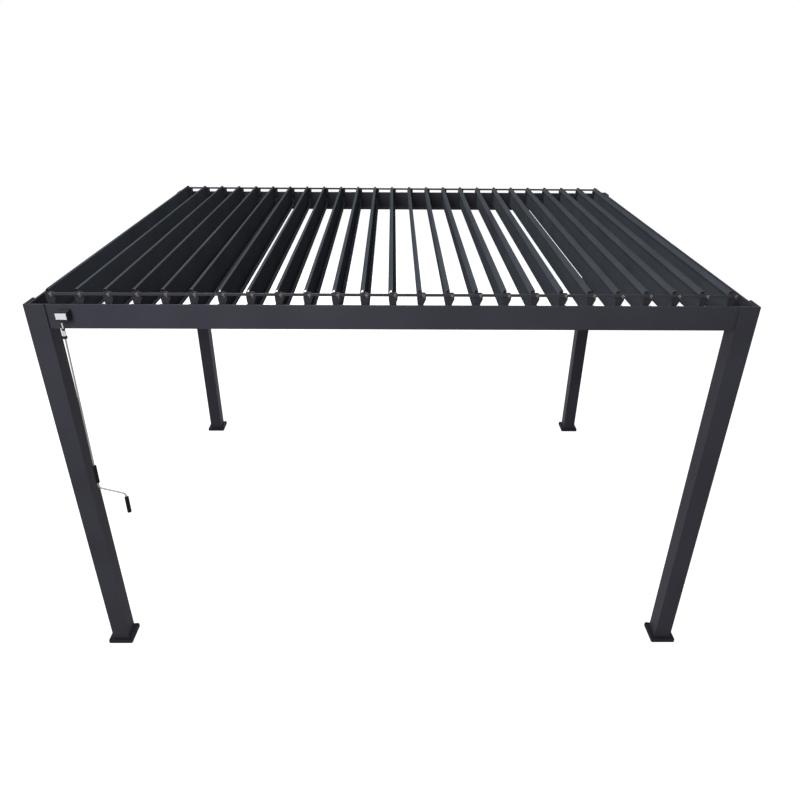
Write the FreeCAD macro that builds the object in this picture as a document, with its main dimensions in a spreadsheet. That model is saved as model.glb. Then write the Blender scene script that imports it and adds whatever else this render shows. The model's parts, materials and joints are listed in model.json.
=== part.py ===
import FreeCAD, Part
import math
import os
import Sketcher

# Louvred aluminium pergola on four posts, opened and closed with a hanging crank.
# Millimetres, +Z up. The origin is on the ground, midway between the four posts.
# X runs along the wide side, and the front, where the crank hangs, faces -Y.

doc = FreeCAD.newDocument("Pergola")

# Driving sizes

SIZES = [
    ("frame_width", 3930, "over the posts, side to side"),
    ("frame_depth", 3000, "over the posts, front to rear"),
    ("post_top", 2500, "ground to the top of the posts"),
    ("post_side", 110, "outside of the square post"),
    ("post_wall", 2.5, "wall of the post tube"),
    ("foot_overhang", 27, "foot plate beyond the post on each side"),
    ("foot_thick", 26, "cast foot plate with its cover"),
    ("foot_round", 9, "rounding of the foot's corners"),
    ("foot_chamfer", 5, "bevel round the top of the foot"),
    ("anchor_inset", 13.5, "anchor hole centre from the foot's edge"),
    ("anchor_hole", 11, "diameter of an anchor hole"),
    ("spigot_height", 60, "upstand of the foot inside the post"),
    ("fit_gap", 0.3, "play of a plug or a pin in its seat"),
    ("beam_height", 136, "eaves beam, bottom to top"),
    ("beam_step", 5, "top of the beams below the top of the posts"),
    ("face_recess", 12, "beam face behind the post face"),
    ("beam_box", 12, "thickness of the beam's hollow upright"),
    ("beam_wall", 2, "wall of the beam's hollow upright"),
    ("gutter_reach", 110, "gutter lip from the post face"),
    ("gutter_floor", 3, "thickness of the gutter floor"),
    ("gutter_lip", 24, "height of the gutter lip over the beam's bottom"),
    ("gutter_lip_wall", 3, "thickness of the gutter lip"),
    ("drain_hole", 44, "diameter of the drain into each post"),
    ("louvre_count", 25, "number of louvres"),
    ("first_gap", 110, "first pivot from the left post's outer face"),
    ("last_gap", 129, "last pivot from the right post's outer face"),
    ("pivot_drop", 18, "pivots below the top of the beams"),
    ("blade_half", 80, "half the height of an upright blade"),
    ("web_thick", 6, "thickness of the hollow web"),
    ("web_wall", 1.2, "wall of the hollow web"),
    ("web_stop", 6, "solid stretch at each end of the web"),
    ("head_width", 10, "flat head to the left of the web"),
    ("head_lean", 10, "further reach of the drip edge"),
    ("head_drop", 22, "drip edge below the top"),
    ("flange_thick", 2.4, "thickness of head, drip edge and channel"),
    ("channel_reach", 21, "rain channel to the right of the web"),
    ("channel_rise", 14, "height of the rain channel"),
    ("cap_from_face", 78, "outside of the end caps from the post face"),
    ("cap_thick", 10, "thickness of an end cap"),
    ("cap_hub", 16, "radius of the cap round the pivot"),
    ("cap_left", 20, "cap to the left of the pivot"),
    ("cap_right", 29, "cap to the right of the pivot"),
    ("cap_shoulder", 30, "where the cap reaches its full width"),
    ("cap_top", 68, "top of the cap above the pivot"),
    ("cap_corner", 8, "cut corner at the top of the cap"),
    ("pivot_pin", 12, "diameter of a pivot pin"),
    ("pin_end_gap", 2, "end of a pivot pin to the beam's inner face"),
    ("saddle_side", 26, "side of the square saddle under each pivot pin"),
    ("saddle_reach", 22, "saddle from the beam's inner face"),
    ("link_right", 14, "link pin to the right of the pivot"),
    ("link_up", 58, "link pin above the pivot"),
    ("link_pin", 8, "diameter of a link pin"),
    ("link_pin_proud", 2, "end of a link pin beyond its rod"),
    ("rod_high", 14, "height of a link rod"),
    ("rod_thick", 8, "thickness of a link rod"),
    ("rod_gap", 4, "space between a link rod and the end caps"),
    ("rod_end", 13, "link rod beyond its last pin"),
    ("gearbox_left", 179, "gearbox from the left post's outer face"),
    ("gearbox_wide", 64, "width of the gearbox"),
    ("gearbox_high", 50, "height of the gearbox"),
    ("gearbox_deep", 62, "gearbox out from the beam's face"),
    ("gearbox_drop", 22, "top of the gearbox below the top of the beam"),
    ("gearbox_round", 4, "rounding of the gearbox"),
    ("plate_thick", 3, "thickness of the gearbox's front plate"),
    ("plate_wide", 57, "width of that plate"),
    ("plate_high", 34, "height of that plate"),
    ("plate_down", 5, "top of the plate below the top of the gearbox"),
    ("shaft_left", 24, "drive shaft from the gearbox's left side"),
    ("shaft_inset", 10, "drive shaft behind the gearbox's front"),
    ("shaft_wide", 7, "diameter of the drive shaft"),
    ("shaft_long", 51, "drive shaft below the gearbox"),
    ("shaft_collar", 20, "diameter of the collar on the drive shaft"),
    ("shaft_collar_high", 6, "height of that collar"),
    ("joint_play", 0.6, "barrel of the universal joint below that collar"),
    ("barrel_wide", 19, "diameter of that barrel"),
    ("barrel_top", 17, "top of the barrel above its centre"),
    ("barrel_tip", 3.5, "radius of the barrel's flat top"),
    ("barrel_shoulder", 8, "start of its tapered top above its centre"),
    ("barrel_low", 16, "flat foot of the barrel below its centre"),
    ("cross_pin", 6, "diameter of the pin across the barrel"),
    ("cross_pin_long", 22, "length of that pin"),
    ("crank_lean", 5.4, "crank leaning out from the beam, degrees"),
    ("crank_tilt", 1.6, "crank leaning to the right, degrees"),
    ("crank_socket", 24, "diameter of the crank's upper socket"),
    ("crank_socket_high", 15, "height of the crank's upper socket"),
    ("crank_rod", 9, "diameter of the crank rod"),
    ("crank_length", 950, "barrel centre to the bend of the crank"),
    ("sleeve_wide", 24, "diameter of the crank's upper grip sleeve"),
    ("sleeve_long", 110, "length of that sleeve"),
    ("sleeve_clear", 12, "sleeve above the bend"),
    ("arm_reach", 150, "crank arm, rod axis to handle axis"),
    ("arm_drop", 45, "fall of the arm towards the handle"),
    ("bend_radius", 24, "bend of the crank rod at the arm's ends"),
    ("stub_long", 22, "rod below the arm's outer bend"),
    ("grip_wide", 24, "diameter of the handle grip"),
    ("grip_long", 103, "length of the handle grip"),
    ("grip_wall_end", 6, "closed end of the handle grip"),
]

sheet = doc.addObject("Spreadsheet::Sheet", "Sizes")
for row, (alias, number, note) in enumerate(SIZES, start=1):
    sheet.set("A%d" % row, note)
    sheet.set("B%d" % row, str(number))
    sheet.setAlias("B%d" % row, alias)

# Sizes that follow from the driving ones

DERIVED = [
    ("beam_top", "post_top - beam_step"),
    ("beam_bottom", "beam_top - beam_height"),
    ("rim_inner", "face_recess + beam_box"),
    ("pivot_height", "beam_top - pivot_drop"),
    ("pitch", "(frame_width - first_gap - last_gap) / (louvre_count - 1)"),
    ("first_pivot", "first_gap - frame_width / 2"),
    ("pivot_span", "pitch * (louvre_count - 1)"),
    ("blade_start", "cap_from_face + cap_thick"),
    ("web_half", "web_thick / 2"),
    ("rod_from_face", "cap_from_face - rod_gap - rod_thick"),
    ("gearbox_top", "beam_top - gearbox_drop"),
    ("gearbox_bottom", "gearbox_top - gearbox_high"),
    ("swivel_height", "gearbox_bottom - shaft_long - joint_play - barrel_top"),
    ("socket_top", "-barrel_low - fit_gap"),
]
for row, (alias, formula) in enumerate(DERIVED, start=len(SIZES) + 2):
    sheet.set("A%d" % row, alias.replace("_", " "))
    sheet.set("B%d" % row, "=" + formula)
    sheet.setAlias("B%d" % row, alias)
doc.recompute()


def named(expression):
    """Puts the sheet's name before each of its aliases in an expression."""
    words = []
    word = ""
    for letter in expression + " ":
        if letter.isalnum() or letter == "_":
            word += letter
            continue
        words.append("Sizes." + word if word in ALIASES else word)
        words.append(letter)
        word = ""
    return "".join(words).strip()


ALIASES = {alias for alias, _, _ in SIZES} | {alias for alias, _ in DERIVED}
probe = doc.addObject("App::FeaturePython", "Probe")


def size(expression):
    """The number that an expression of the sheet's aliases gives now."""
    return float(probe.evalExpression(named(expression)))


# Building blocks


def new_body(label):
    body = doc.addObject("PartDesign::Body", label)
    body.Label = label
    return body


def place(item, x="0", y="0", z="0", turn="0"):
    """Binds where an item stands and how far it is turned about the vertical."""
    item.Placement = FreeCAD.Placement(FreeCAD.Vector(), FreeCAD.Rotation(FreeCAD.Vector(0, 0, 1), 0))
    item.setExpression("Placement.Base.x", named(x))
    item.setExpression("Placement.Base.y", named(y))
    item.setExpression("Placement.Base.z", named(z))
    item.setExpression("Placement.Rotation.Angle", turn)


def new_sketch(body, role, offset="0"):
    """A sketch on one of the body's own planes, moved along the plane's normal."""
    plane = [one for one in body.Origin.OriginFeatures if one.Role == role][0]
    sketch = body.newObject("Sketcher::SketchObject", "Sketch")
    sketch.AttachmentSupport = [(plane, "")]
    sketch.MapMode = "FlatFace"
    sketch.setExpression(".AttachmentOffset.Base.z", named(offset))
    return sketch


def bind(sketch, constraint, formula):
    index = sketch.addConstraint(constraint)
    sketch.setExpression("Constraints[%d]" % index, named(formula))


def outline(sketch, corners, arcs=None):
    """A closed outline whose corners are pairs of formulas. arcs gives, for the side that
    starts at a corner, the formulas of a point on the arc and of its centre's height."""
    arcs = arcs or {}
    points = [FreeCAD.Vector(size(across), size(up), 0) for across, up in corners]
    first = sketch.GeometryCount
    count = len(corners)
    ends = []
    for number in range(count):
        start = points[number]
        end = points[(number + 1) % count]
        if number in arcs:
            across, up, _ = arcs[number]
            middle = FreeCAD.Vector(size(across), size(up), 0)
            side = Part.Arc(start, middle, end)
            sketch.addGeometry(side, False)
            flipped = sketch.getPoint(first + number, 1).distanceToPoint(start) > 1e-6
            ends.append((2, 1) if flipped else (1, 2))
        else:
            sketch.addGeometry(Part.LineSegment(start, end), False)
            ends.append((1, 2))
    for number in range(count):
        after = (number + 1) % count
        sketch.addConstraint(Sketcher.Constraint(
            "Coincident", first + number, ends[number][1], first + after, ends[after][0]))
    for number, (across, up) in enumerate(corners):
        where = (first + number, ends[number][0])
        bind(sketch, Sketcher.Constraint("DistanceX", -1, 1, *where, points[number].x), across)
        bind(sketch, Sketcher.Constraint("DistanceY", -1, 1, *where, points[number].y), up)
    for number, (_, _, centre) in arcs.items():
        bind(sketch, Sketcher.Constraint("DistanceY", -1, 1, first + number, 3, size(centre)), centre)


def box_outline(sketch, low_x, low_y, high_x, high_y):
    outline(sketch, [(low_x, low_y), (high_x, low_y), (high_x, high_y), (low_x, high_y)])


def circle(sketch, across, up, diameter):
    centre = FreeCAD.Vector(size(across), size(up), 0)
    sketch.addGeometry(Part.Circle(centre, FreeCAD.Vector(0, 0, 1), size(diameter) / 2), False)
    number = sketch.GeometryCount - 1
    bind(sketch, Sketcher.Constraint("DistanceX", -1, 1, number, 3, centre.x), across)
    bind(sketch, Sketcher.Constraint("DistanceY", -1, 1, number, 3, centre.y), up)
    bind(sketch, Sketcher.Constraint("Diameter", number, size(diameter)), diameter)


def eight_sided(sketch, across, up, radius):
    """A round form with few faces, for what the roof repeats. The radius is to its corners."""
    outline(sketch, [("%s + (%s) * cos(%d * 45)" % (across, radius, corner),
                      "%s + (%s) * sin(%d * 45)" % (up, radius, corner)) for corner in range(8)])


def pad(body, sketch, length, backwards=False):
    feature = body.newObject("PartDesign::Pad", "Pad")
    feature.Profile = sketch
    feature.Reversed = backwards
    feature.setExpression("Length", named(length))
    body.Tip = feature
    return feature


def pocket(body, sketch, depth, backwards=False):
    feature = body.newObject("PartDesign::Pocket", "Pocket")
    feature.Profile = sketch
    feature.Reversed = backwards
    feature.setExpression("Length", named(depth))
    body.Tip = feature
    return feature


def row_of(body, feature, sketch, length, occurrences):
    """Repeats a feature along its sketch's horizontal axis."""
    pattern = body.newObject("PartDesign::LinearPattern", "Row")
    pattern.Originals = [feature]
    pattern.Direction = (sketch, ["H_Axis"])
    pattern.setExpression("Length", named(length))
    pattern.setExpression("Occurrences", named(occurrences))
    body.Tip = pattern
    return pattern


def upright_edges(feature, height_at):
    """Names of the upright edges that stand on a given height, furthest out only."""
    names = []
    for number, edge in enumerate(feature.Shape.Edges, start=1):
        if len(edge.Vertexes) < 2:
            continue
        low, high = sorted(vertex.Point.z for vertex in edge.Vertexes)
        straight_up = abs(edge.Vertexes[0].Point.x - edge.Vertexes[1].Point.x) < 1e-4
        straight_up = straight_up and abs(edge.Vertexes[0].Point.y - edge.Vertexes[1].Point.y) < 1e-4
        if straight_up and abs(low - height_at) < 1e-4 and high > low:
            names.append("Edge%d" % number)
    return names


# Corners of the frame: each is turned so that its own +x and +y point inwards

CORNERS = [
    ("front_left", "-frame_width / 2", "-frame_depth / 2", "0"),
    ("front_right", "frame_width / 2", "-frame_depth / 2", "90"),
    ("rear_right", "frame_width / 2", "frame_depth / 2", "180"),
    ("rear_left", "-frame_width / 2", "frame_depth / 2", "270"),
]


def make_foot(name, x, y, turn):
    """Cast foot plate with a bevelled top, four anchor holes and a plug for the post."""
    body = new_body("foot_" + name)
    sketch = new_sketch(body, "XY_Plane")
    box_outline(sketch, "-foot_overhang", "-foot_overhang",
                "post_side + foot_overhang", "post_side + foot_overhang")
    plate = pad(body, sketch, "foot_thick")
    doc.recompute()
    rounding = body.newObject("PartDesign::Fillet", "Rounding")
    rounding.Base = (plate, upright_edges(plate, 0))
    rounding.setExpression("Radius", named("foot_round"))
    body.Tip = rounding
    doc.recompute()
    top = size("foot_thick")
    rim = ["Edge%d" % number for number, edge in enumerate(rounding.Shape.Edges, start=1)
           if all(abs(vertex.Point.z - top) < 1e-4 for vertex in edge.Vertexes)]
    bevel = body.newObject("PartDesign::Chamfer", "Bevel")
    bevel.Base = (rounding, rim)
    bevel.setExpression("Size", named("foot_chamfer"))
    body.Tip = bevel
    inside = "post_wall + fit_gap"
    plug = new_sketch(body, "XY_Plane", "foot_thick")
    box_outline(plug, inside, inside, "post_side - " + inside.replace("+", "-"),
                "post_side - " + inside.replace("+", "-"))
    pad(body, plug, "spigot_height")
    core = new_sketch(body, "XY_Plane", "foot_thick")
    box_outline(core, "3 * post_wall", "3 * post_wall",
                "post_side - 3 * post_wall", "post_side - 3 * post_wall")
    pocket(body, core, "spigot_height", backwards=True)
    holes = new_sketch(body, "XY_Plane")
    near = "anchor_inset - foot_overhang"
    far = "post_side + foot_overhang - anchor_inset"
    for across in (near, far):
        for up in (near, far):
            circle(holes, across, up, "anchor_hole")
    pocket(body, holes, "foot_thick", backwards=True)
    place(body, x, y, "0", turn)
    return body


def make_post(name, x, y, turn):
    """Hollow post. Its two outer walls run on past the gutter corner to the top."""
    body = new_body("post_" + name)
    tube = new_sketch(body, "XY_Plane", "foot_thick")
    box_outline(tube, "0", "0", "post_side", "post_side")
    box_outline(tube, "post_wall", "post_wall", "post_side - post_wall", "post_side - post_wall")
    pad(body, tube, "beam_bottom - foot_thick")
    skirt = new_sketch(body, "XY_Plane", "beam_bottom")
    outline(skirt, [("0", "0"), ("post_side", "0"), ("post_side", "face_recess"),
                    ("face_recess", "face_recess"), ("face_recess", "post_side"),
                    ("0", "post_side")])
    inner = "face_recess - post_wall"
    outline(skirt, [("post_wall", "post_wall"), ("post_side - post_wall", "post_wall"),
                    ("post_side - post_wall", inner), (inner, inner),
                    (inner, "post_side - post_wall"), ("post_wall", "post_side - post_wall")])
    pad(body, skirt, "post_top - post_wall - beam_bottom")
    lid = new_sketch(body, "XY_Plane", "post_top - post_wall")
    outline(lid, [("0", "0"), ("post_side", "0"), ("post_side", "face_recess"),
                  ("face_recess", "face_recess"), ("face_recess", "post_side"),
                  ("0", "post_side")])
    pad(body, lid, "post_wall")
    place(body, x, y, "0", turn)
    return body


for name, x, y, turn in CORNERS:
    make_foot(name, x, y, turn)
    make_post(name, x, y, turn)


def beam_upright(body, start, length):
    """Hollow upright of a beam: its own x runs along it and its own y points inwards."""
    section = new_sketch(body, "YZ_Plane", start)
    box_outline(section, "face_recess", "0", "rim_inner", "beam_height")
    box_outline(section, "face_recess + beam_wall", "beam_wall",
                "rim_inner - beam_wall", "beam_height - beam_wall")
    pad(body, section, length)


def gutter_floor(body, start, length):
    floor = new_sketch(body, "YZ_Plane", start)
    box_outline(floor, "rim_inner", "0", "gutter_reach", "gutter_floor")
    pad(body, floor, length)


def gutter_edge(body, start, length):
    edge = new_sketch(body, "YZ_Plane", start)
    box_outline(edge, "gutter_reach - gutter_lip_wall", "gutter_floor", "gutter_reach", "gutter_lip")
    pad(body, edge, length)


def make_long_beam(label, first_saddle, x, y, turn):
    """Front or rear beam with its gutter, its drains and an open saddle for each louvre."""
    body = new_body(label)
    beam_upright(body, "face_recess", "frame_width - 2 * face_recess")
    gutter_floor(body, "rim_inner", "frame_width - 2 * rim_inner")
    gutter_edge(body, "gutter_reach - gutter_lip_wall",
                "frame_width - 2 * (gutter_reach - gutter_lip_wall)")
    drains = new_sketch(body, "XY_Plane")
    circle(drains, "(post_side + rim_inner) / 2", "(post_side + rim_inner) / 2", "drain_hole")
    circle(drains, "frame_width - (post_side + rim_inner) / 2", "(post_side + rim_inner) / 2", "drain_hole")
    pocket(body, drains, "gutter_floor", backwards=True)
    height = "pivot_height - beam_bottom"
    saddle = new_sketch(body, "XZ_Plane", "-rim_inner")
    slot = "(pivot_pin / 2 + fit_gap)"
    outline(saddle, [
        (first_saddle + " - saddle_side / 2", height + " - saddle_side / 2"),
        (first_saddle + " + saddle_side / 2", height + " - saddle_side / 2"),
        (first_saddle + " + saddle_side / 2", height + " + saddle_side / 2"),
        (first_saddle + " + " + slot, height + " + saddle_side / 2"),
        (first_saddle + " + " + slot, height + " - " + slot),
        (first_saddle + " - " + slot, height + " - " + slot),
        (first_saddle + " - " + slot, height + " + saddle_side / 2"),
        (first_saddle + " - saddle_side / 2", height + " + saddle_side / 2"),
    ])
    first = pad(body, saddle, "saddle_reach", backwards=True)
    row_of(body, first, saddle, "pivot_span", "louvre_count")
    place(body, x, y, "beam_bottom", turn)
    return body


def make_side_beam(label, x, y, turn):
    """Side beam with its gutter, between the two long beams."""
    body = new_body(label)
    beam_upright(body, "rim_inner", "frame_depth - 2 * rim_inner")
    gutter_floor(body, "gutter_reach", "frame_depth - 2 * gutter_reach")
    gutter_edge(body, "gutter_reach", "frame_depth - 2 * gutter_reach")
    place(body, x, y, "beam_bottom", turn)
    return body


make_long_beam("beam_front", "first_gap", "-frame_width / 2", "-frame_depth / 2", "0")
make_long_beam("beam_rear", "last_gap", "frame_width / 2", "frame_depth / 2", "180")
make_side_beam("beam_right", "frame_width / 2", "-frame_depth / 2", "90")
make_side_beam("beam_left", "-frame_width / 2", "frame_depth / 2", "270")


def blade_section(sketch):
    """Section of an upright louvre, seen from the front, round its pivot."""
    lip = "web_half + head_width"
    drip = lip + " + head_lean"
    slope = "flange_thick * 0.9"
    outline(sketch, [
        ("web_half", "blade_half"),
        ("-(" + lip + ")", "blade_half"),
        ("-(" + drip + ")", "blade_half - head_drop"),
        ("-(" + drip + " - " + slope + ")", "blade_half - head_drop - flange_thick * 0.4"),
        ("-(" + lip + " - flange_thick * 0.6)", "blade_half - flange_thick"),
        ("-web_half", "blade_half - flange_thick"),
        ("-web_half", "-blade_half"),
        ("web_half + channel_reach", "-blade_half"),
        ("web_half + channel_reach", "channel_rise - blade_half"),
        ("web_half + channel_reach - flange_thick", "channel_rise - blade_half"),
        ("web_half + channel_reach - flange_thick", "flange_thick - blade_half"),
        ("web_half", "flange_thick - blade_half"),
    ])
    box_outline(sketch, "web_wall - web_half", "web_stop - blade_half",
                "web_half - web_wall", "blade_half - web_stop")


def cap_outline(sketch):
    outline(sketch, [
        ("-cap_hub", "0"),
        ("cap_hub", "0"),
        ("cap_right", "cap_shoulder"),
        ("cap_right", "cap_top - cap_corner"),
        ("cap_right - cap_corner", "cap_top"),
        ("cap_corner - cap_left", "cap_top"),
        ("-cap_left", "cap_top - cap_corner"),
        ("-cap_left", "cap_shoulder"),
    ], {0: ("0", "-cap_hub", "0")})


def make_louvre(label):
    """Louvre with its end caps, pivot pins and link pins. Its own origin is on the
    pivot axis, level with the front face of the posts, and it stands upright."""
    body = new_body(label)
    section = new_sketch(body, "XZ_Plane", "-blade_start")
    blade_section(section)
    pad(body, section, "frame_depth - 2 * blade_start", backwards=True)
    for start in ("cap_from_face", "frame_depth - blade_start"):
        cap = new_sketch(body, "XZ_Plane", "-(" + start + ")")
        cap_outline(cap)
        pad(body, cap, "cap_thick", backwards=True)
    pin_start = "rim_inner + pin_end_gap"
    for start in (pin_start, "frame_depth - cap_from_face"):
        pin = new_sketch(body, "XZ_Plane", "-(" + start + ")")
        eight_sided(pin, "0", "0", "pivot_pin / 2")
        pad(body, pin, "cap_from_face - (" + pin_start + ")", backwards=True)
    link_start = "rod_from_face - link_pin_proud"
    for start in (link_start, "frame_depth - cap_from_face"):
        link = new_sketch(body, "XZ_Plane", "-(" + start + ")")
        eight_sided(link, "link_right", "link_up", "link_pin / 2")
        pad(body, link, "cap_from_face - (" + link_start + ")", backwards=True)
    return body


def place_louvre(item, number):
    place(item, "first_pivot + %d * pitch" % number, "-frame_depth / 2", "pivot_height")


louvre = make_louvre("louvre_01")
place_louvre(louvre, 0)
doc.recompute()
upright_louvre = louvre.Shape.copy()
upright_louvre.Placement = FreeCAD.Placement()
for number in range(1, int(size("louvre_count"))):
    label = "louvre_%02d" % (number + 1)
    copy = doc.addObject("Part::Feature", label)
    copy.Label = label
    copy.Shape = upright_louvre
    place_louvre(copy, number)


def make_link_rod(label, y):
    """Flat rod that ties the upper ends of the louvres, with a hole for each link pin."""
    body = new_body(label)
    bar = new_sketch(body, "XZ_Plane")
    box_outline(bar, "-rod_end", "-rod_high / 2", "pivot_span + rod_end", "rod_high / 2")
    pad(body, bar, "rod_thick", backwards=True)
    bore = new_sketch(body, "XZ_Plane")
    eight_sided(bore, "0", "0", "(link_pin / 2 + fit_gap) / cos(22.5)")
    hole = pocket(body, bore, "rod_thick")
    row_of(body, hole, bore, "pivot_span", "louvre_count")
    place(body, "first_pivot + link_right", y, "pivot_height + link_up")
    return body


make_link_rod("link_rod_front", "rod_from_face - frame_depth / 2")
make_link_rod("link_rod_rear", "frame_depth / 2 - rod_from_face - rod_thick")


# Gearbox on the front beam, with the origin at its top left on the beam's face


def make_gearbox():
    body = new_body("gearbox_housing")
    sketch = new_sketch(body, "XZ_Plane")
    box_outline(sketch, "0", "-gearbox_high", "gearbox_wide", "0")
    case = pad(body, sketch, "gearbox_deep - plate_thick")
    doc.recompute()
    edges = ["Edge%d" % number for number, edge in enumerate(case.Shape.Edges, start=1)
             if edge.Length > size("gearbox_deep - plate_thick") - 1e-4
             and abs(edge.Vertexes[0].Point.y - edge.Vertexes[1].Point.y) > 1]
    rounding = body.newObject("PartDesign::Fillet", "Rounding")
    rounding.Base = (case, edges)
    rounding.setExpression("Radius", named("gearbox_round"))
    body.Tip = rounding
    return body


def make_plate():
    body = new_body("gearbox_plate")
    sketch = new_sketch(body, "XZ_Plane", "gearbox_deep - plate_thick")
    box_outline(sketch, "(gearbox_wide - plate_wide) / 2", "-plate_down - plate_high",
                "(gearbox_wide + plate_wide) / 2", "-plate_down")
    pad(body, sketch, "plate_thick")
    return body


def make_shaft():
    """Drive shaft that comes out under the gearbox, with the collar at its lower end."""
    body = new_body("drive_shaft")
    upper = new_sketch(body, "XY_Plane", "-shaft_long")
    circle(upper, "0", "0", "shaft_wide")
    pad(body, upper, "shaft_long")
    collar = new_sketch(body, "XY_Plane", "-shaft_long")
    circle(collar, "0", "0", "shaft_collar")
    pad(body, collar, "shaft_collar_high")
    return body


GEARBOX_X = "gearbox_left - frame_width / 2"
FACE_Y = "face_recess - frame_depth / 2"
SHAFT_X = GEARBOX_X + " + shaft_left"
SHAFT_Y = FACE_Y + " - (gearbox_deep - shaft_inset)"
place(make_gearbox(), GEARBOX_X, FACE_Y, "gearbox_top")
place(make_plate(), GEARBOX_X, FACE_Y, "gearbox_top")
place(make_shaft(), SHAFT_X, SHAFT_Y, "gearbox_bottom")


# Crank, drawn hanging straight down from the centre of the universal joint


def lean(item):
    """Hangs a piece of the crank from the universal joint at the crank's own slant."""
    item.setExpression("Placement.Base.x", named(SHAFT_X))
    item.setExpression("Placement.Base.y", named(SHAFT_Y))
    item.setExpression("Placement.Base.z", named("swivel_height"))
    outwards = FreeCAD.Rotation(FreeCAD.Vector(1, 0, 0), -size("crank_lean"))
    sideways = FreeCAD.Rotation(FreeCAD.Vector(0, 1, 0), -size("crank_tilt"))
    item.Placement = FreeCAD.Placement(FreeCAD.Vector(), outwards.multiply(sideways))


def make_barrel():
    """Barrel of the universal joint, tapered so that it can swing, with its cross pin."""
    body = new_body("crank_joint")
    sketch = new_sketch(body, "XZ_Plane")
    outline(sketch, [
        ("0", "-barrel_low"),
        ("barrel_wide / 2", "-barrel_low"),
        ("barrel_wide / 2", "barrel_shoulder"),
        ("barrel_tip", "barrel_top"),
        ("0", "barrel_top"),
    ])
    turned = body.newObject("PartDesign::Revolution", "Turned")
    turned.Profile = sketch
    turned.ReferenceAxis = (sketch, ["V_Axis"])
    turned.Angle = 360
    body.Tip = turned
    pin = new_sketch(body, "YZ_Plane", "-cross_pin_long / 2")
    circle(pin, "0", "0", "cross_pin")
    pad(body, pin, "cross_pin_long")
    lean(body)


make_barrel()


def make_crank():
    """Crank rod with its socket, its bends and the offset arm, as one swept tube."""
    down = size("crank_length")
    reach = size("arm_reach")
    fall = size("arm_drop")
    bend = size("bend_radius")
    corners = [
        FreeCAD.Vector(0, 0, size("socket_top - crank_socket_high")),
        FreeCAD.Vector(0, 0, -down),
        FreeCAD.Vector(reach, 0, -down - fall),
        FreeCAD.Vector(reach, 0, -down - fall - size("stub_long + grip_long - grip_wall_end")),
    ]
    edges = []
    start = corners[0]
    for before, corner, after in zip(corners, corners[1:], corners[2:]):
        back = (before - corner).normalize()
        on = (after - corner).normalize()
        half = back.getAngle(on) / 2
        tangent = bend / math.tan(half)
        into = corner + back * tangent
        out = corner + on * tangent
        centre = corner + (back + on).normalize() * (bend / math.sin(half))
        middle = centre + (corner - centre).normalize() * bend
        edges.append(Part.LineSegment(start, into).toShape())
        edges.append(Part.Arc(into, middle, out).toShape())
        start = out
    edges.append(Part.LineSegment(start, corners[-1]).toShape())
    path = Part.Wire(edges)
    ring = Part.Wire([Part.Circle(corners[0], FreeCAD.Vector(0, 0, 1), size("crank_rod") / 2).toShape()])
    rod = path.makePipeShell([ring], True, False)
    socket = Part.makeCylinder(size("crank_socket") / 2, size("crank_socket_high"), corners[0])
    crank = doc.addObject("Part::Feature", "crank_rod")
    crank.Label = "crank_rod"
    crank.Shape = rod.fuse(socket)
    lean(crank)
    return crank


make_crank()


def tube_round_rod(label, low, high, diameter, across, closed_end):
    """Grip on the crank rod: a tube over the rod, with a closed lower end if asked."""
    body = new_body(label)
    sketch = new_sketch(body, "XY_Plane", low)
    circle(sketch, across, "0", diameter)
    pad(body, sketch, "(" + high + ") - (" + low + ")")
    floor = low + (" + grip_wall_end" if closed_end else "")
    bore = new_sketch(body, "XY_Plane", floor)
    circle(bore, across, "0", "crank_rod")
    pocket(body, bore, "(" + high + ") - (" + floor + ")", backwards=True)
    lean(body)
    return body


SLEEVE_LOW = "sleeve_clear + bend_radius - crank_length"
GRIP_TOP = "-crank_length - arm_drop - stub_long"
tube_round_rod("crank_sleeve", SLEEVE_LOW, SLEEVE_LOW + " + sleeve_long", "sleeve_wide", "0", False)
tube_round_rod("crank_grip", GRIP_TOP + " - grip_long", GRIP_TOP, "grip_wide", "arm_reach", True)

# Checks and export

doc.removeObject(probe.Name)
doc.recompute()
for item in doc.Objects:
    if "Invalid" in item.State or "Error" in item.State:
        raise RuntimeError("failed: %s %s" % (item.Label, item.State))

subparts = [item for item in doc.Objects
            if item.TypeId == "PartDesign::Body" or item.TypeId == "Part::Feature"]
for item in subparts:
    if item.Shape.isNull() or not item.Shape.isValid() or not item.Shape.Solids:
        raise RuntimeError("bad shape: " + item.Label)

os.makedirs("parts", exist_ok=True)
for item in subparts:
    item.Shape.exportStep("parts/%s.step" % item.Label)
    print("%-18s solids %d  volume %.0f mm3" % (item.Label, len(item.Shape.Solids), item.Shape.Volume))
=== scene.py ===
import bmesh
import bpy
import json
import math
from mathutils import Matrix, Vector


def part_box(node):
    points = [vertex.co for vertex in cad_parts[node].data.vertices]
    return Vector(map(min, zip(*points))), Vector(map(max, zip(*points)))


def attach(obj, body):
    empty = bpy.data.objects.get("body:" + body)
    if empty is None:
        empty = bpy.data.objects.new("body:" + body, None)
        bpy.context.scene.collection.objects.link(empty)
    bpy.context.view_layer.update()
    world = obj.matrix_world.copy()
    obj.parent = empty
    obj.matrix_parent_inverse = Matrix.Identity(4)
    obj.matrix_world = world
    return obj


# Looks of a louvred aluminium pergola: camera, light, powder coat, plastic and metal, and small fittings.
# Metres, +Z up, the front faces -Y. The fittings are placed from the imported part's boxes and joints.

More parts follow.
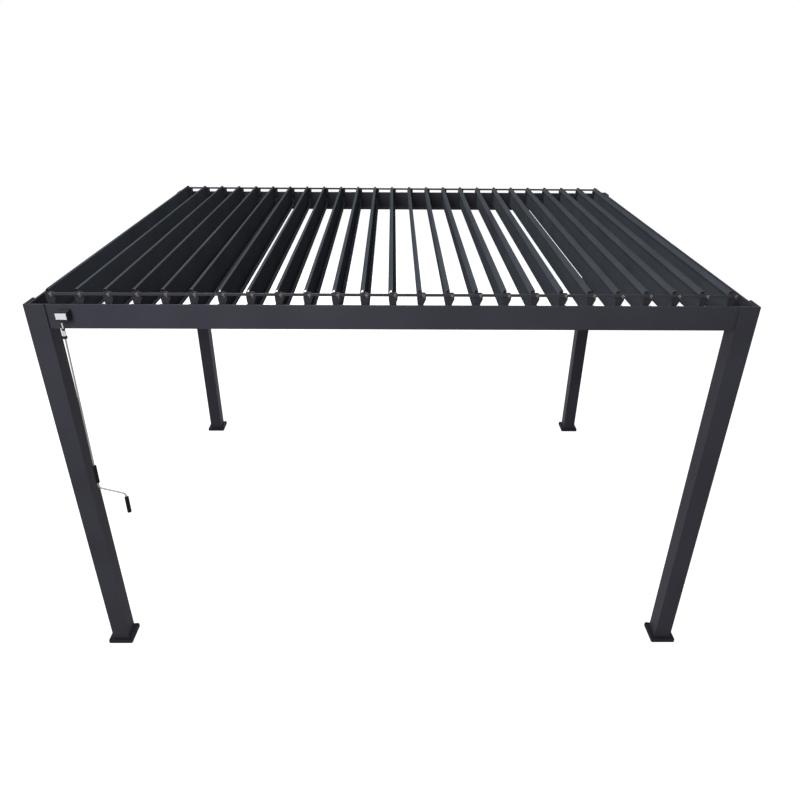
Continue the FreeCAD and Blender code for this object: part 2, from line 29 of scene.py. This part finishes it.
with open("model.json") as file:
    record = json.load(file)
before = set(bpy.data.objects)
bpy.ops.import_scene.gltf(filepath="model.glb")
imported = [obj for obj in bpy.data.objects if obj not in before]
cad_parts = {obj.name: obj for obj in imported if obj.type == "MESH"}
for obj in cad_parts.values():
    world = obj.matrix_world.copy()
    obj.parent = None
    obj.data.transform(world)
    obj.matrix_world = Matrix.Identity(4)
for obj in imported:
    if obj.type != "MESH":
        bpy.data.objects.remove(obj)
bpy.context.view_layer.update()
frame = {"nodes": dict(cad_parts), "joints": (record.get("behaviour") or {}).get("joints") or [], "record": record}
nodes = frame["nodes"]
record = frame["record"]
joints = {joint["name"]: joint for joint in frame["joints"]}
LOUVRES = sorted(name for name in nodes if name.startswith("louvre_"))
FEET = sorted(name for name in nodes if name.startswith("foot_"))

# Camera, found from the photograph's edges

CAMERA_PLACE = Vector((-0.0073, -4.8879, 3.7625))
CAMERA_PITCH = 0.49567
CAMERA_YAW = 0.01263
CAMERA_ROLL = 0.00825
FOCAL_PIXELS = 673.1
IMAGE_PIXELS = 800
SENSOR_MM = 36

# Light

WORLD_COLOR = (0.92, 0.96, 1, 1)
WORLD_STRENGTH = 0.19
FLOOR_HALF = 30
FLOOR_LEVEL = -0.0005
FLOOR_COLOR = (0.35, 0.35, 0.35, 1)
FLOOR_GLOW = 0.95
SKY_COLOR = (0.86, 0.93, 1)

# Texture of the finishes

CLOUD_SCALE = 2.5
CLOUD_DETAIL = 5
CLOUD_EDGES = (0.3, 0.7)
GRAIN_DETAIL = 3
GRAIN_STRENGTH = 0.35
ROUGH_SPREAD = 0.08
FITTING_SPECULAR = 0.1

# Sizes of the fittings

ANCHOR_INSET = 0.0135
BOLT_ACROSS = 0.013
BOLT_HIGH = 0.006
BOLT_FLANGE = 0.0165
BOLT_FLANGE_HIGH = 0.002
BOLT_CROWN = 0.001
BOLT_CROWN_SHARE = 0.86
FOOT_RIM = 0.02
CLIP_WIRE = 0.0015
CLIP_HIGH = 0.020
CLIP_WIDE = 0.008
CLIP_LEG_STEPS = 8
CLIP_BEND_STEPS = 6
CLIP_WAVES = 1.5
SCREW_HEAD = 0.0085
SCREW_HIGH = 0.003
SCREW_UP = 0.040
SCREW_SIDE_SHARE = 0.4
WASHER = 0.013
WASHER_HIGH = 0.0012
SHARP_DEGREES = 35

# Where the finish changes on a node, and the colours there

CAP_TOP_DEPTH = 0.004
PAST_THE_END = 1
SOCKET_HIGH = 0.0155
COLLAR_HIGH = 0.0062
BUSH_HIGH = 0.010
CAP_THICK = 0.0102
BLACK = (0.016, 0.016, 0.018)
CAP_COLOR = (0.036, 0.036, 0.043)


# Camera and light


def white_to_the_eye(tree):
    """A factor of 1 for what the camera sees, straight or in metal and glass."""
    path = tree.nodes.new("ShaderNodeLightPath")
    mirrored = tree.nodes.new("ShaderNodeMath")
    mirrored.operation = "MAXIMUM"
    seen = tree.nodes.new("ShaderNodeMath")
    seen.operation = "MAXIMUM"
    tree.links.new(path.outputs["Is Glossy Ray"], mirrored.inputs[0])
    tree.links.new(path.outputs["Is Transmission Ray"], mirrored.inputs[1])
    tree.links.new(path.outputs["Is Camera Ray"], seen.inputs[0])
    tree.links.new(mirrored.outputs[0], seen.inputs[1])
    return seen.outputs[0]


def make_camera():
    forward = Vector((
        math.sin(CAMERA_YAW) * math.cos(CAMERA_PITCH),
        math.cos(CAMERA_YAW) * math.cos(CAMERA_PITCH),
        -math.sin(CAMERA_PITCH),
    ))
    level = Vector((math.cos(CAMERA_YAW), -math.sin(CAMERA_YAW), 0))
    upright = level.cross(forward)
    right = math.cos(CAMERA_ROLL) * level + math.sin(CAMERA_ROLL) * upright
    up = right.cross(forward)
    data = bpy.data.cameras.new("camera")
    data.sensor_width = SENSOR_MM
    data.lens = FOCAL_PIXELS / IMAGE_PIXELS * SENSOR_MM
    data.clip_end = 100
    camera = bpy.data.objects.new("camera", data)
    bpy.context.scene.collection.objects.link(camera)
    turn = Matrix((right, up, -forward)).transposed().to_4x4()
    camera.matrix_world = Matrix.Translation(CAMERA_PLACE) @ turn
    bpy.context.scene.camera = camera


def area_lamp(name, place, target, side, power, color=(1, 1, 1)):
    data = bpy.data.lights.new(name, "AREA")
    data.shape = "SQUARE"
    data.size = side
    data.energy = power
    data.color = color
    lamp = bpy.data.objects.new(name, data)
    bpy.context.scene.collection.objects.link(lamp)
    lamp.location = place
    lamp.rotation_euler = (Vector(target) - Vector(place)).to_track_quat("-Z", "Y").to_euler()


def make_world():
    """Even light from all sides, and a white background behind the object."""
    world = bpy.data.worlds.new("studio")
    bpy.context.scene.world = world
    world.use_nodes = True
    tree = world.node_tree
    tree.nodes.clear()
    output = tree.nodes.new("ShaderNodeOutputWorld")
    mix = tree.nodes.new("ShaderNodeMixShader")
    light = tree.nodes.new("ShaderNodeBackground")
    light.inputs["Color"].default_value = WORLD_COLOR
    light.inputs["Strength"].default_value = WORLD_STRENGTH
    seen = tree.nodes.new("ShaderNodeBackground")
    seen.inputs["Color"].default_value = (1, 1, 1, 1)
    tree.links.new(white_to_the_eye(tree), mix.inputs["Fac"])
    tree.links.new(light.outputs[0], mix.inputs[1])
    tree.links.new(seen.outputs[0], mix.inputs[2])
    tree.links.new(mix.outputs[0], output.inputs["Surface"])


def make_floor():
    """White floor that keeps a faint shadow of the object. It lies just under the feet."""
    mesh = bpy.data.meshes.new("floor")
    corners = [(x * FLOOR_HALF, y * FLOOR_HALF, FLOOR_LEVEL)
               for x, y in ((-1, -1), (1, -1), (1, 1), (-1, 1))]
    mesh.from_pydata(corners, [], [(0, 1, 2, 3)])
    floor = bpy.data.objects.new("floor", mesh)
    bpy.context.scene.collection.objects.link(floor)
    material = bpy.data.materials.new("white_floor")
    material.use_nodes = True
    tree = material.node_tree
    tree.nodes.clear()
    output = tree.nodes.new("ShaderNodeOutputMaterial")
    diffuse = tree.nodes.new("ShaderNodeBsdfDiffuse")
    diffuse.inputs["Color"].default_value = FLOOR_COLOR
    glow = tree.nodes.new("ShaderNodeEmission")
    strength = tree.nodes.new("ShaderNodeMath")
    strength.operation = "MULTIPLY"
    strength.inputs[1].default_value = FLOOR_GLOW
    add = tree.nodes.new("ShaderNodeAddShader")
    tree.links.new(white_to_the_eye(tree), strength.inputs[0])
    tree.links.new(strength.outputs[0], glow.inputs["Strength"])
    tree.links.new(diffuse.outputs[0], add.inputs[0])
    tree.links.new(glow.outputs[0], add.inputs[1])
    tree.links.new(add.outputs[0], output.inputs["Surface"])
    mesh.materials.append(material)


# Materials


def surface(name, color, shade=0.12, roughness=0.5, metallic=0.0, specular=0.03,
            grain=900, grain_depth=0.0002, stretch=(1, 1, 1)):
    """A shader with cloudy colour, uneven gloss and a fine grain, in the part's own metres."""
    material = bpy.data.materials.new(name)
    material.use_nodes = True
    tree = material.node_tree
    shader = tree.nodes["Principled BSDF"]
    shader.inputs["Metallic"].default_value = metallic
    shader.inputs["Specular IOR Level"].default_value = specular
    place = tree.nodes.new("ShaderNodeTexCoord")
    scale = tree.nodes.new("ShaderNodeMapping")
    scale.inputs["Scale"].default_value = stretch
    tree.links.new(place.outputs["Object"], scale.inputs["Vector"])
    clouds = tree.nodes.new("ShaderNodeTexNoise")
    clouds.inputs["Scale"].default_value = CLOUD_SCALE
    clouds.inputs["Detail"].default_value = CLOUD_DETAIL
    tree.links.new(scale.outputs[0], clouds.inputs["Vector"])
    ramp = tree.nodes.new("ShaderNodeValToRGB")
    ramp.color_ramp.elements[0].position = CLOUD_EDGES[0]
    ramp.color_ramp.elements[1].position = CLOUD_EDGES[1]
    ramp.color_ramp.elements[0].color = (*[part * (1 - shade) for part in color], 1)
    ramp.color_ramp.elements[1].color = (*[min(part * (1 + shade), 1) for part in color], 1)
    tree.links.new(clouds.outputs["Fac"], ramp.inputs["Fac"])
    tree.links.new(ramp.outputs["Color"], shader.inputs["Base Color"])
    specks = tree.nodes.new("ShaderNodeTexNoise")
    specks.inputs["Scale"].default_value = grain
    specks.inputs["Detail"].default_value = GRAIN_DETAIL
    tree.links.new(scale.outputs[0], specks.inputs["Vector"])
    gloss = tree.nodes.new("ShaderNodeMapRange")
    gloss.inputs["To Min"].default_value = roughness - ROUGH_SPREAD
    gloss.inputs["To Max"].default_value = roughness + ROUGH_SPREAD
    tree.links.new(specks.outputs["Fac"], gloss.inputs["Value"])
    tree.links.new(gloss.outputs["Result"], shader.inputs["Roughness"])
    bump = tree.nodes.new("ShaderNodeBump")
    bump.inputs["Strength"].default_value = GRAIN_STRENGTH
    bump.inputs["Distance"].default_value = grain_depth
    tree.links.new(specks.outputs["Fac"], bump.inputs["Height"])
    tree.links.new(bump.outputs["Normal"], shader.inputs["Normal"])
    return material


MATERIALS = {
    "frame_coat": surface("frame_coat", (0.050, 0.049, 0.062)),
    "foot_coat": surface("foot_coat", (0.028, 0.028, 0.034), grain=600, grain_depth=0.0003),
    # Louvre coat: the frame's anthracite coat made about half as light again. The extra lightness is painted
    # light, standing in for light the louvres lose in each other's shade.
    "louvre_coat": surface("louvre_coat", (0.074, 0.080, 0.092), roughness=0.6, specular=0.0),
    "rod_coat": surface("rod_coat", (0.052, 0.050, 0.060)),
    "gearbox_case": surface("gearbox_case", (0.030, 0.031, 0.035), grain=1500),
    "gearbox_plate": surface("gearbox_plate", (0.72, 0.73, 0.76), shade=0.03, roughness=0.35,
                             specular=0.2),
    "black_steel": surface("black_steel", (0.02, 0.02, 0.022), roughness=0.35, metallic=0.4),
    "bright_steel": surface("bright_steel", (0.55, 0.54, 0.53), roughness=0.3, metallic=1.0),
    "bright_aluminium": surface("bright_aluminium", (0.28, 0.265, 0.25), roughness=0.42, metallic=0.6,
                                stretch=(1, 1, 0.05)),
    "spring_steel": surface("spring_steel", (0.28, 0.27, 0.26), roughness=0.35, metallic=0.8),
    "black_grip": surface("black_grip", (0.012, 0.012, 0.013), grain=1800),
}


def banded(name, slot, axis, low, high, band_color):
    """A slot's finish between two places along an axis, with a dark fitting's colour beyond them."""
    material = MATERIALS[slot].copy()
    material.name = name
    tree = material.node_tree
    fitting = tree.nodes.new("ShaderNodeBsdfPrincipled")
    fitting.inputs["Base Color"].default_value = (*band_color, 1)
    fitting.inputs["Specular IOR Level"].default_value = FITTING_SPECULAR
    tree.links.new(tree.nodes["Map Range"].outputs["Result"], fitting.inputs["Roughness"])
    tree.links.new(tree.nodes["Bump"].outputs["Normal"], fitting.inputs["Normal"])
    split = tree.nodes.new("ShaderNodeSeparateXYZ")
    offset = tree.nodes.new("ShaderNodeMath")
    offset.operation = "SUBTRACT"
    offset.inputs[1].default_value = (low + high) / 2
    size = tree.nodes.new("ShaderNodeMath")
    size.operation = "ABSOLUTE"
    edge = tree.nodes.new("ShaderNodeMath")
    edge.operation = "GREATER_THAN"
    edge.inputs[1].default_value = (high - low) / 2
    mix = tree.nodes.new("ShaderNodeMixShader")
    tree.links.new(tree.nodes["Texture Coordinate"].outputs["Object"], split.inputs[0])
    tree.links.new(split.outputs[axis], offset.inputs[0])
    tree.links.new(offset.outputs[0], size.inputs[0])
    tree.links.new(size.outputs[0], edge.inputs[0])
    tree.links.new(edge.outputs[0], mix.inputs["Fac"])
    tree.links.new(tree.nodes["Principled BSDF"].outputs[0], mix.inputs[1])
    tree.links.new(fitting.outputs[0], mix.inputs[2])
    tree.links.new(mix.outputs[0], tree.nodes["Material Output"].inputs["Surface"])
    return material


def paint_part():
    """Each node in its slot's finish, and the dark ends of the shaft, the crank and the louvres."""
    for row in record["subparts"]:
        data = nodes[row["node"]].data
        data.materials.clear()
        data.materials.append(MATERIALS[row["material_slot"]])
    low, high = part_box("drive_shaft")
    nodes["drive_shaft"].data.materials[0] = banded(
        "shaft_and_collar", "bright_steel", "Z", low.z + COLLAR_HIGH, high.z - BUSH_HIGH, BLACK)
    low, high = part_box("crank_rod")
    nodes["crank_rod"].data.materials[0] = banded(
        "rod_and_socket", "bright_aluminium", "Z", low.z - PAST_THE_END, high.z - SOCKET_HIGH, BLACK)
    # The louvres' coat, lightened with painted light, and their dark end caps beyond the cap faces.
    capped = banded("louvre_and_caps", "louvre_coat", "Y", cap_face(LOUVRES[0], False) + CAP_THICK,
                    cap_face(LOUVRES[0], True) - CAP_THICK, CAP_COLOR)
    for name in LOUVRES:
        nodes[name].data.materials[0] = capped


# Small fittings, made in mesh code


def ring_points(centre, axis, radius, sides):
    """Points round an axis."""
    axis = Vector(axis).normalized()
    across = axis.orthogonal().normalized()
    up = axis.cross(across)
    turns = [2 * math.pi * step / sides for step in range(sides)]
    return [Vector(centre) + radius * (math.cos(turn) * across + math.sin(turn) * up) for turn in turns]


def add_turned(mesh, base, axis, profile, sides):
    """A solid of rings along an axis. The profile is pairs of radius and distance along it."""
    axis = Vector(axis).normalized()
    rings = []
    for radius, along in profile:
        points = ring_points(Vector(base) + axis * along, axis, radius, sides)
        rings.append([mesh.verts.new(point) for point in points])
    for low, high in zip(rings, rings[1:]):
        for step in range(sides):
            after = (step + 1) % sides
            mesh.faces.new((low[step], low[after], high[after], high[step]))
    mesh.faces.new(rings[0][::-1])
    mesh.faces.new(rings[-1])


def add_wire(mesh, points, radius, sides=8):
    """A bent wire through the given points."""
    rings = []
    for number, point in enumerate(points):
        before = points[max(number - 1, 0)]
        after = points[min(number + 1, len(points) - 1)]
        rings.append([mesh.verts.new(spot) for spot in ring_points(point, after - before, radius, sides)])
    for low, high in zip(rings, rings[1:]):
        nearest = min(range(sides), key=lambda shift: (high[shift].co - low[0].co).length)
        for step in range(sides):
            after = (step + 1) % sides
            mesh.faces.new((low[step], low[after], high[(after + nearest) % sides],
                            high[(step + nearest) % sides]))
    mesh.faces.new(rings[0][::-1])
    mesh.faces.new(rings[-1])


def finish_piece(mesh, name, slot, body, look=None):
    """Turns a bmesh into a smooth piece that takes a slot's finish and rides on a body."""
    bmesh.ops.recalc_face_normals(mesh, faces=mesh.faces)
    data = bpy.data.meshes.new(name)
    mesh.to_mesh(data)
    mesh.free()
    data.shade_smooth()
    data.set_sharp_from_angle(angle=math.radians(SHARP_DEGREES))
    data.materials.append(MATERIALS[look or slot])
    piece = bpy.data.objects.new(name, data)
    bpy.context.scene.collection.objects.link(piece)
    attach(piece, body)


def make_foot_bolts():
    """A flanged hex bolt in each anchor hole of each foot."""
    half = BOLT_ACROSS / math.sqrt(3)
    for foot in FEET:
        low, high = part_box(foot)
        top = foot_top(foot)
        mesh = bmesh.new()
        for x in (low.x + ANCHOR_INSET, high.x - ANCHOR_INSET):
            for y in (low.y + ANCHOR_INSET, high.y - ANCHOR_INSET):
                base = (x, y, top)
                add_turned(mesh, base, (0, 0, 1), [
                    (BOLT_FLANGE / 2, 0), (BOLT_FLANGE / 2, BOLT_FLANGE_HIGH)], sides=24)
                add_turned(mesh, base, (0, 0, 1), [
                    (half, BOLT_FLANGE_HIGH), (half, BOLT_HIGH),
                    (half * BOLT_CROWN_SHARE, BOLT_HIGH + BOLT_CROWN)], sides=6)
        finish_piece(mesh, foot.replace("foot_", "foot_bolts_"), "black_steel", "frame")


def foot_top(foot):
    """Top of the foot plate: the highest of the points near its left and right sides."""
    low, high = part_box(foot)
    near = [vertex.co.z for vertex in nodes[foot].data.vertices
            if vertex.co.x - low.x < FOOT_RIM or high.x - vertex.co.x < FOOT_RIM]
    return max(near)


def hairpin(centre, outwards):
    """Points of an upright spring clip through a link pin: a straight leg and a wavy one."""
    lift = outwards * CLIP_WIRE
    points = []
    for step in range(CLIP_LEG_STEPS + 1):
        height = CLIP_HIGH * (0.5 - step / CLIP_LEG_STEPS)
        points.append(centre + Vector((0, 0, height)) + lift)
    for step in range(1, CLIP_BEND_STEPS):
        turn = math.pi * step / CLIP_BEND_STEPS
        points.append(centre + Vector((CLIP_WIDE / 2 * (1 - math.cos(turn)), 0,
                                       -CLIP_HIGH / 2 - CLIP_WIDE / 2 * math.sin(turn))) + lift)
    for step in range(CLIP_LEG_STEPS + 1):
        share = step / CLIP_LEG_STEPS
        wave = CLIP_WIDE - 0.5 * CLIP_WIDE * math.sin(math.pi * share * CLIP_WAVES) ** 2
        points.append(centre + Vector((wave, 0, CLIP_HIGH * (share - 0.5))) + lift)
    return points


def cap_face(name, rear):
    """Outer face of a louvre's end cap, from the points at its top."""
    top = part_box(name)[1].z
    ends = [vertex.co.y for vertex in nodes[name].data.vertices if top - vertex.co.z < CAP_TOP_DEPTH]
    return max(ends) if rear else min(ends)


def make_louvre_fittings():
    """Clips and washers at both link pins of each louvre, and the screws of its end caps."""
    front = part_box("link_rod_front")[0].y
    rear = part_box("link_rod_rear")[1].y
    link = joints["link_front_swing"]["pos_m"]
    lead = joints["louvre_13_tilt"]["pos_m"]
    right = link[0] - lead[0]
    up = link[2] - lead[2]
    for name in LOUVRES:
        pivot = joints[name + "_tilt"]["pos_m"]
        clips = bmesh.new()
        screws = bmesh.new()
        for face, cap, outwards in ((front, cap_face(name, False), Vector((0, -1, 0))),
                                    (rear, cap_face(name, True), Vector((0, 1, 0)))):
            pin = Vector((pivot[0] + right, face, pivot[2] + up))
            add_turned(clips, pin, outwards, [(WASHER / 2, 0), (WASHER / 2, WASHER_HIGH)], sides=20)
            add_wire(clips, hairpin(pin, outwards), CLIP_WIRE / 2)
            head = Vector((pivot[0] + right * SCREW_SIDE_SHARE, cap, pivot[2] + SCREW_UP))
            add_turned(screws, head, outwards, [
                (SCREW_HEAD / 2, 0), (SCREW_HEAD / 2, SCREW_HIGH * 0.7),
                (SCREW_HEAD * 0.36, SCREW_HIGH)], sides=16)
        finish_piece(clips, name.replace("louvre_", "clips_"), "bright_steel", name, look="spring_steel")
        finish_piece(screws, name.replace("louvre_", "cap_screws_"), "black_steel", name)


make_camera()
make_world()
make_floor()
area_lamp("key", (-1.6, -6.4, 5.0), (0, 0, 2.0), 3.0, 285)
area_lamp("back", (-1.6, 7.0, 3.4), (0, 0, 1.6), 4.0, 260)
area_lamp("sky", (-1.5, 0.5, 7.5), (0, 0, 2.5), 4.0, 210, SKY_COLOR)
paint_part()
make_foot_bolts()
make_louvre_fittings()
bpy.context.scene.view_settings.view_transform = "Standard"
